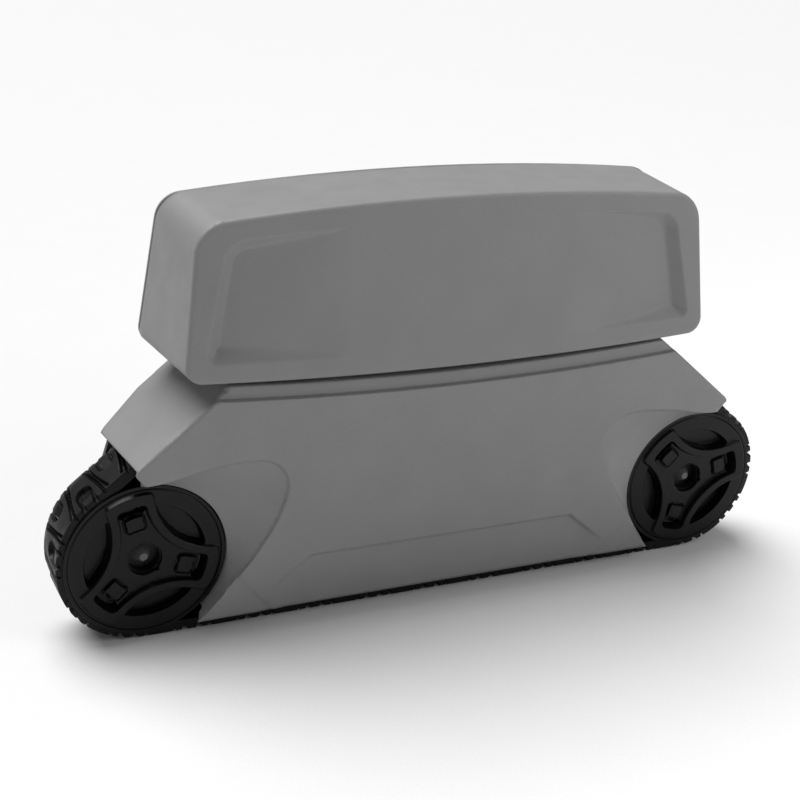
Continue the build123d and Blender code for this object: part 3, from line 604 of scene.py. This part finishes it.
def add_track(material):
    (xs, zs, turns), period = track_path()
    width = TRACK_FAR - TRACK_NEAR
    inner = np.linspace(1.3, width - 1.3, 64)
    across = np.concatenate([[0, 0.25, 0.7], inner, [width - 0.7, width - 0.25, width]])
    along = (np.arange(len(xs)) / STEPS * period)[:, None]
    v = across[None, :]
    near_u = (along + period / 2) % period - period / 2
    far_u = along % period - period / 2
    depth = np.maximum(block_cuts(near_u, v, width), block_cuts(far_u, width - v, width))
    crown = CROWN_NEAR * np.clip(1 - v / CROWN_LONG, 0, 1) ** 2
    crown = crown + CROWN_FAR * np.clip(1 - (width - v) / CROWN_LONG, 0, 1) ** 2
    depth = depth * (1 - FAR_SHALLOW * smooth((v / width - 0.72) / 0.28))
    depth = crown + depth * (1 - crown / (BELT_THICK - 1)) + edge_round(np.minimum(v, width - v), 0.7)
    middle = width / 2
    belly = [(width, BELT_THICK), (middle + GUIDE_HALF, BELT_THICK),
             (middle + GUIDE_HALF - 0.6, BELT_THICK + GUIDE_HIGH),
             (middle - GUIDE_HALF + 0.6, BELT_THICK + GUIDE_HIGH),
             (middle - GUIDE_HALF, BELT_THICK), (0, BELT_THICK)]
    rows = []
    for index, (x, z, turn) in enumerate(zip(xs, zs, turns)):
        section = list(zip(across, depth[index])) + belly
        row = []
        for place, drop in section:
            row.append((x - drop * math.cos(turn), TRACK_NEAR + place, z - drop * math.sin(turn)))
        rows.append(row)
    belt = closed_grid("track", rows)
    face_outwards(belt)
    belt.data.materials.append(material)
    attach(belt, "side_unit")
    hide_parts("track_belt")
    return belt


def closed_grid(name, rows):
    """A mesh of quads through rows of points that closes both ways."""
    count, wide = len(rows), len(rows[0])
    verts = [point for row in rows for point in row]
    faces = []
    for index in range(count):
        after = (index + 1) % count
        for place in range(wide):
            beside = (place + 1) % wide
            here, there = index * wide, after * wide
            faces.append((here + place, here + beside, there + beside, there + place))
    return piece_from(name, verts, faces)


# Wheel caps

SPOKES = {"front": 104.5, "rear": 135.0}
SPIDER_R = 0.95 * CAP_R
SPIDER_AWAY = 1.393 * CAP_R
SPIDER_HOLLOW = 0.903 * CAP_R
RAIL = 6.3
RAIL_RISE = 1.0
RING_DROP = 2.4
POCKET = 4.2
LENS_R = 0.79 * CAP_R
LENS_DEPTH = 9.0
HUB_R = 11.7
LATCH_AT = 28.5
LATCH_HALF = (5.3, 6.4)
SLOT_FROM = 35.0
FLANGE_BACK = 1.7           # how far the flange lies behind the cap's face


def rounded_box(u, w, half_u, half_w, radius):
    """Distance inside a rounded rectangle, negative outside."""
    out_u, out_w = np.abs(u) - half_u + radius, np.abs(w) - half_w + radius
    outside = np.hypot(np.clip(out_u, 0, None), np.clip(out_w, 0, None))
    return radius - outside - np.minimum(np.maximum(out_u, out_w), 0)


def cap_depth(radius, angle):
    """How far the cap lies behind its highest rail, with the angle from its first spoke."""
    turned = np.radians((angle + 60) % 120 - 60)
    between = math.radians(60) - np.abs(turned)
    web = np.hypot(radius * np.cos(between) - SPIDER_AWAY, radius * np.sin(between)) - SPIDER_HOLLOW
    spider = soft_min(SPIDER_R - radius, web, 4.0)
    pocket = soft_min(SPIDER_R - 2.2 - radius, web, 3.0) - RAIL
    lens = soft_min(LENS_R - radius, -spider, 2.5)
    depth = RING_DROP - RAIL_RISE - RING_DROP * smooth(spider / 1.3 + 0.5)
    depth = depth + POCKET * smooth(pocket / 1.4 + 0.5)
    depth = depth + (LENS_DEPTH - RING_DROP) * smooth(lens / 1.6)
    u, w = radius * np.cos(turned) - LATCH_AT, radius * np.sin(turned)
    latch = rounded_box(u, w, *LATCH_HALF, 2.0)
    depth = depth - 1.6 * smooth(latch / 0.8) + 1.2 * groove(latch + 0.6, 0.6)
    slot = soft_min(radius * np.cos(turned) - SLOT_FROM, pocket - 0.6, 1.5)
    depth = depth + (LENS_DEPTH - POCKET) * smooth(slot / 1.2)
    return depth + edge_round(CAP_R - radius, 1.6) + edge_round(radius - HUB_R, 0.8)


def hub_radius(angle):
    """The hub hole's radius, with two small notches across from each other."""
    notch = np.abs((angle - 30 + 90) % 180 - 90)
    return HUB_R + 1.6 * (1 - smooth((notch - 6) / 2))


def add_cap(end, side, material):
    count = 600
    angles = np.arange(count) * 360 / count
    hole = hub_radius(angles)
    share = np.concatenate([[0, 0.006, 0.015], np.linspace(0.03, 0.965, 66), [0.98, 0.99, 0.996, 1]])
    radius = hole[:, None] + (CAP_R - hole[:, None]) * share[None, :]
    depth = cap_depth(radius, angles[:, None])
    depth[:, :2] = np.maximum(depth[:, :2], POCKET - RAIL_RISE)
    back = LENS_DEPTH + 1.0
    thick = CAP_BACK - CAP_DEPTH
    rows = []
    for index, angle in enumerate(angles):
        turn = math.radians(angle + SPOKES[end])
        section = list(zip(radius[index], depth[index]))
        section += [(CAP_R, FLANGE_BACK), (FLANGE_R - 0.3, FLANGE_BACK), (FLANGE_R, FLANGE_BACK + 0.3)]
        section += [(FLANGE_R, thick), (CAP_R - 2, thick)]
        section += [(CAP_R - 2.6, back), (hole[index] + 2, back), (hole[index], back)]
        rows.append([(side * WHEEL_X + r * math.cos(turn), CAP_DEPTH + drop, WHEEL_Z + r * math.sin(turn))
                     for r, drop in section])
    cap = closed_grid(end + "_cap", rows)
    face_outwards(cap)
    cap.data.materials.append(material)
    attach(cap, end + "_wheel")
    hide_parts(end + "_wheel_cap", end + "_wheel_latches")
    return cap


# Materials

def new_material(name, base, rough, metallic=0.0, gloss=0.5):
    material = bpy.data.materials.new(name)
    material.use_nodes = True
    shader = material.node_tree.nodes["Principled BSDF"]
    shader.inputs["Base Color"].default_value = (*base, 1)
    shader.inputs["Roughness"].default_value = rough
    shader.inputs["Metallic"].default_value = metallic
    shader.inputs["Specular IOR Level"].default_value = gloss
    return material


def grey(value, tint=(1, 1, 1)):
    """A linear colour from an 8-bit sRGB grey."""
    level = value / 255
    linear = level / 12.92 if level <= 0.04045 else ((level + 0.055) / 1.055) ** 2.4
    return tuple(linear * part for part in tint)


def noise(tree, scale, detail=3.0, stretch=(1, 1, 1)):
    """Noise in the object's own metres."""
    where = tree.nodes.new("ShaderNodeTexCoord")
    mapping = tree.nodes.new("ShaderNodeMapping")
    mapping.inputs["Scale"].default_value = stretch
    texture = tree.nodes.new("ShaderNodeTexNoise")
    texture.inputs["Scale"].default_value = scale
    texture.inputs["Detail"].default_value = detail
    tree.links.new(where.outputs["Object"], mapping.inputs["Vector"])
    tree.links.new(mapping.outputs["Vector"], texture.inputs["Vector"])
    return texture.outputs["Fac"]


def ramp(tree, value, low, high, first, second):
    """A colour from first to second as the value goes from low to high."""
    node = tree.nodes.new("ShaderNodeValToRGB")
    node.color_ramp.elements[0].position = low
    node.color_ramp.elements[1].position = high
    node.color_ramp.elements[0].color = (*first, 1)
    node.color_ramp.elements[1].color = (*second, 1)
    tree.links.new(value, node.inputs["Fac"])
    return node.outputs["Color"]


def ranged(tree, value, low, high, first, second):
    node = tree.nodes.new("ShaderNodeMapRange")
    for name, number in (("From Min", low), ("From Max", high), ("To Min", first), ("To Max", second)):
        node.inputs[name].default_value = number
    tree.links.new(value, node.inputs["Value"])
    return node.outputs["Result"]


def bumped(tree, heights):
    """Bumps, one after another, from (height, distance in metres, strength)."""
    shader = tree.nodes["Principled BSDF"]
    last = None
    for height, distance, strength in heights:
        bump = tree.nodes.new("ShaderNodeBump")
        bump.inputs["Distance"].default_value = distance
        bump.inputs["Strength"].default_value = strength
        tree.links.new(height, bump.inputs["Height"])
        if last:
            tree.links.new(last, bump.inputs["Normal"])
        last = bump.outputs["Normal"]
    tree.links.new(last, shader.inputs["Normal"])


def multiplied(tree, first, second):
    node = tree.nodes.new("ShaderNodeMix")
    node.data_type = "RGBA"
    node.blend_type = "MULTIPLY"
    node.inputs["Factor"].default_value = 1.0
    tree.links.new(first, node.inputs["A"])
    tree.links.new(second, node.inputs["B"])
    return node.outputs["Result"]


def moulded(name, base, rough, mottle=0.025, grain=0.00006, gloss=0.5):
    """Moulded plastic: slight mottling, fine grain and uneven gloss."""
    material = new_material(name, base, rough, gloss=gloss)
    tree = material.node_tree
    shader = tree.nodes["Principled BSDF"]
    dark = tuple(part * (1 - mottle) for part in base)
    light = tuple(part * (1 + mottle) for part in base)
    clouds = ramp(tree, noise(tree, 22, 4), 0.35, 0.65, dark, light)
    specks = ramp(tree, noise(tree, 900, 2), 0.4, 0.62, (0.95, 0.95, 0.95), (1, 1, 1))
    tree.links.new(multiplied(tree, clouds, specks), shader.inputs["Base Color"])
    sheen = ranged(tree, noise(tree, 60, 4), 0.35, 0.65, rough - 0.05, rough + 0.06)
    tree.links.new(sheen, shader.inputs["Roughness"])
    bumped(tree, [(noise(tree, 1800, 2), grain, 0.5), (noise(tree, 14, 2), grain * 12, 0.25)])
    return material


def rubber():
    """Moulded rubber with a dusty bloom and a fine skin."""
    material = new_material("track_rubber_look", grey(15), 0.5, gloss=0.2)
    tree = material.node_tree
    shader = tree.nodes["Principled BSDF"]
    bloom = ramp(tree, noise(tree, 45, 6), 0.35, 0.75, grey(6), grey(13, (1, 1, 1.04)))
    tree.links.new(bloom, shader.inputs["Base Color"])
    sheen = ranged(tree, noise(tree, 80, 5), 0.3, 0.7, 0.36, 0.56)
    tree.links.new(sheen, shader.inputs["Roughness"])
    bumped(tree, [(noise(tree, 2400, 3), 0.00005, 0.6), (noise(tree, 120, 3), 0.0001, 0.3)])
    return material


def steel():
    """Turned stainless steel: fine streaks across the axis."""
    material = new_material("steel_look", (0.55, 0.56, 0.57), 0.3, metallic=1.0)
    tree = material.node_tree
    shader = tree.nodes["Principled BSDF"]
    streaks = noise(tree, 300, 3, (0.1, 8, 0.1))
    tone = ramp(tree, streaks, 0.3, 0.7, (0.46, 0.47, 0.48), (0.62, 0.63, 0.64))
    tree.links.new(tone, shader.inputs["Base Color"])
    tree.links.new(ranged(tree, streaks, 0.3, 0.7, 0.24, 0.42), shader.inputs["Roughness"])
    bumped(tree, [(streaks, 0.00004, 0.4)])
    return material


def foam():
    """Closed-cell foam, with its cells as a fine pitted skin."""
    material = new_material("foam_look", (0.78, 0.78, 0.74), 0.9)
    tree = material.node_tree
    where = tree.nodes.new("ShaderNodeTexCoord")
    cells = tree.nodes.new("ShaderNodeTexVoronoi")
    cells.inputs["Scale"].default_value = 700
    tree.links.new(where.outputs["Object"], cells.inputs["Vector"])
    tone = ramp(tree, cells.outputs["Distance"], 0.0, 0.6, (0.82, 0.82, 0.78), (0.7, 0.7, 0.66))
    tree.links.new(tone, tree.nodes["Principled BSDF"].inputs["Base Color"])
    bumped(tree, [(cells.outputs["Distance"], 0.0003, 0.6)])
    return material


def make_materials():
    body = grey(128, (0.995, 1.0, 1.0))
    return {
        "casing_grey": moulded("casing_grey_look", body, 0.52),
        "float_grey": moulded("float_grey_look", body, 0.52),
        "plate_grey": moulded("plate_grey_look", grey(64), 0.55),
        "foam": foam(),
        "track_rubber": rubber(),
        "wheel_black": moulded("wheel_black_look", grey(16), 0.42, gloss=0.25),
        "cap_black": moulded("cap_black_look", grey(7), 0.3, gloss=0.2),
        "bush_plastic": moulded("bush_plastic_look", (0.72, 0.7, 0.64), 0.45),
        "gear_plastic": moulded("gear_plastic_look", (0.76, 0.74, 0.67), 0.42),
        "bracket_plastic": moulded("bracket_plastic_look", grey(50), 0.5),
        "seal_rubber": moulded("seal_rubber_look", grey(30), 0.6),
        "steel": steel(),
        "nut_black": moulded("nut_black_look", grey(84), 0.35),
    }


def dress_nodes(looks):
    """Gives each CAD node that still shows the look of its own slot."""
    slots = {part["node"]: part["material_slot"] for part in frame["record"]["subparts"]}
    for name, node in frame["nodes"].items():
        if not node.hide_render:
            node.data.materials.clear()
            node.data.materials.append(looks[slots[name]])
    facets = frame["nodes"]["axle_screws"].modifiers.new("facets", "EDGE_SPLIT")
    facets.split_angle = math.radians(20)


# Stage

def add_camera():
    """The photograph's view: from the front left and above, held with a slight tilt."""
    yaw, pitch, roll = math.radians(25.96), math.radians(23.02), math.radians(-4.13)
    ahead = Vector((math.sin(yaw) * math.cos(pitch), math.cos(yaw) * math.cos(pitch), -math.sin(pitch)))
    level = Vector((math.cos(yaw), -math.sin(yaw), 0))
    down = ahead.cross(level)
    right = math.cos(roll) * level + math.sin(roll) * down
    fall = -math.sin(roll) * level + math.cos(roll) * down
    data = bpy.data.cameras.new("camera")
    data.sensor_width = 36
    data.lens = 70.84
    camera = bpy.data.objects.new("camera", data)
    bpy.context.scene.collection.objects.link(camera)
    turn = Matrix((right, -fall, -ahead)).transposed().to_4x4()
    place = Vector(placed(-472.9, -878.4, 578.8))
    camera.matrix_world = Matrix.Translation(place) @ turn
    bpy.context.scene.camera = camera


def add_light(name, place, strength, softness):
    """A soft distant light that shines from this direction towards the middle."""
    data = bpy.data.lights.new(name, "SUN")
    data.energy = strength
    data.angle = math.radians(softness)
    light = bpy.data.objects.new(name, data)
    light.location = place
    light.rotation_euler = (-Vector(place)).to_track_quat("-Z", "Y").to_euler()
    bpy.context.scene.collection.objects.link(light)


def add_fill(name, place, size, watts):
    """A square panel of light near the object, facing its middle."""
    data = bpy.data.lights.new(name, "AREA")
    data.energy = watts
    data.size = size
    panel = bpy.data.objects.new(name, data)
    panel.location = place
    panel.rotation_euler = (-Vector(place)).to_track_quat("-Z", "Y").to_euler()
    bpy.context.scene.collection.objects.link(panel)


def add_floor():
    mesh = bpy.data.meshes.new("floor")
    half = 6.0
    corners = [(-half, -half, 0), (half, -half, 0), (half, half, 0), (-half, half, 0)]
    mesh.from_pydata(corners, [], [(0, 1, 2, 3)])
    floor = bpy.data.objects.new("floor", mesh)
    floor.location.z = -0.0005
    bpy.context.scene.collection.objects.link(floor)
    paper = moulded("floor_look", (0.7, 0.7, 0.7), 0.85, mottle=0.004, grain=0.00002)
    mesh.materials.append(paper)


def add_stage():
    world = bpy.data.worlds.new("studio")
    world.use_nodes = True
    world.node_tree.nodes["Background"].inputs["Color"].default_value = (1, 1, 1, 1)
    world.node_tree.nodes["Background"].inputs["Strength"].default_value = 0.23
    bpy.context.scene.world = world
    bpy.context.scene.view_settings.view_transform = "Standard"
    add_light("key", (-0.5, 0.8, 2.0), 4.0, 50)
    add_fill("front", (0.85, -0.75, 0.7), 0.7, 4.5)
    add_floor()


add_camera()
looks = make_materials()
add_casing(looks["casing_grey"])
add_float(looks["float_grey"])
add_track(looks["track_rubber"])
add_cap("front", -1, looks["cap_black"])
add_cap("rear", 1, looks["cap_black"])
dress_nodes(looks)
add_stage()
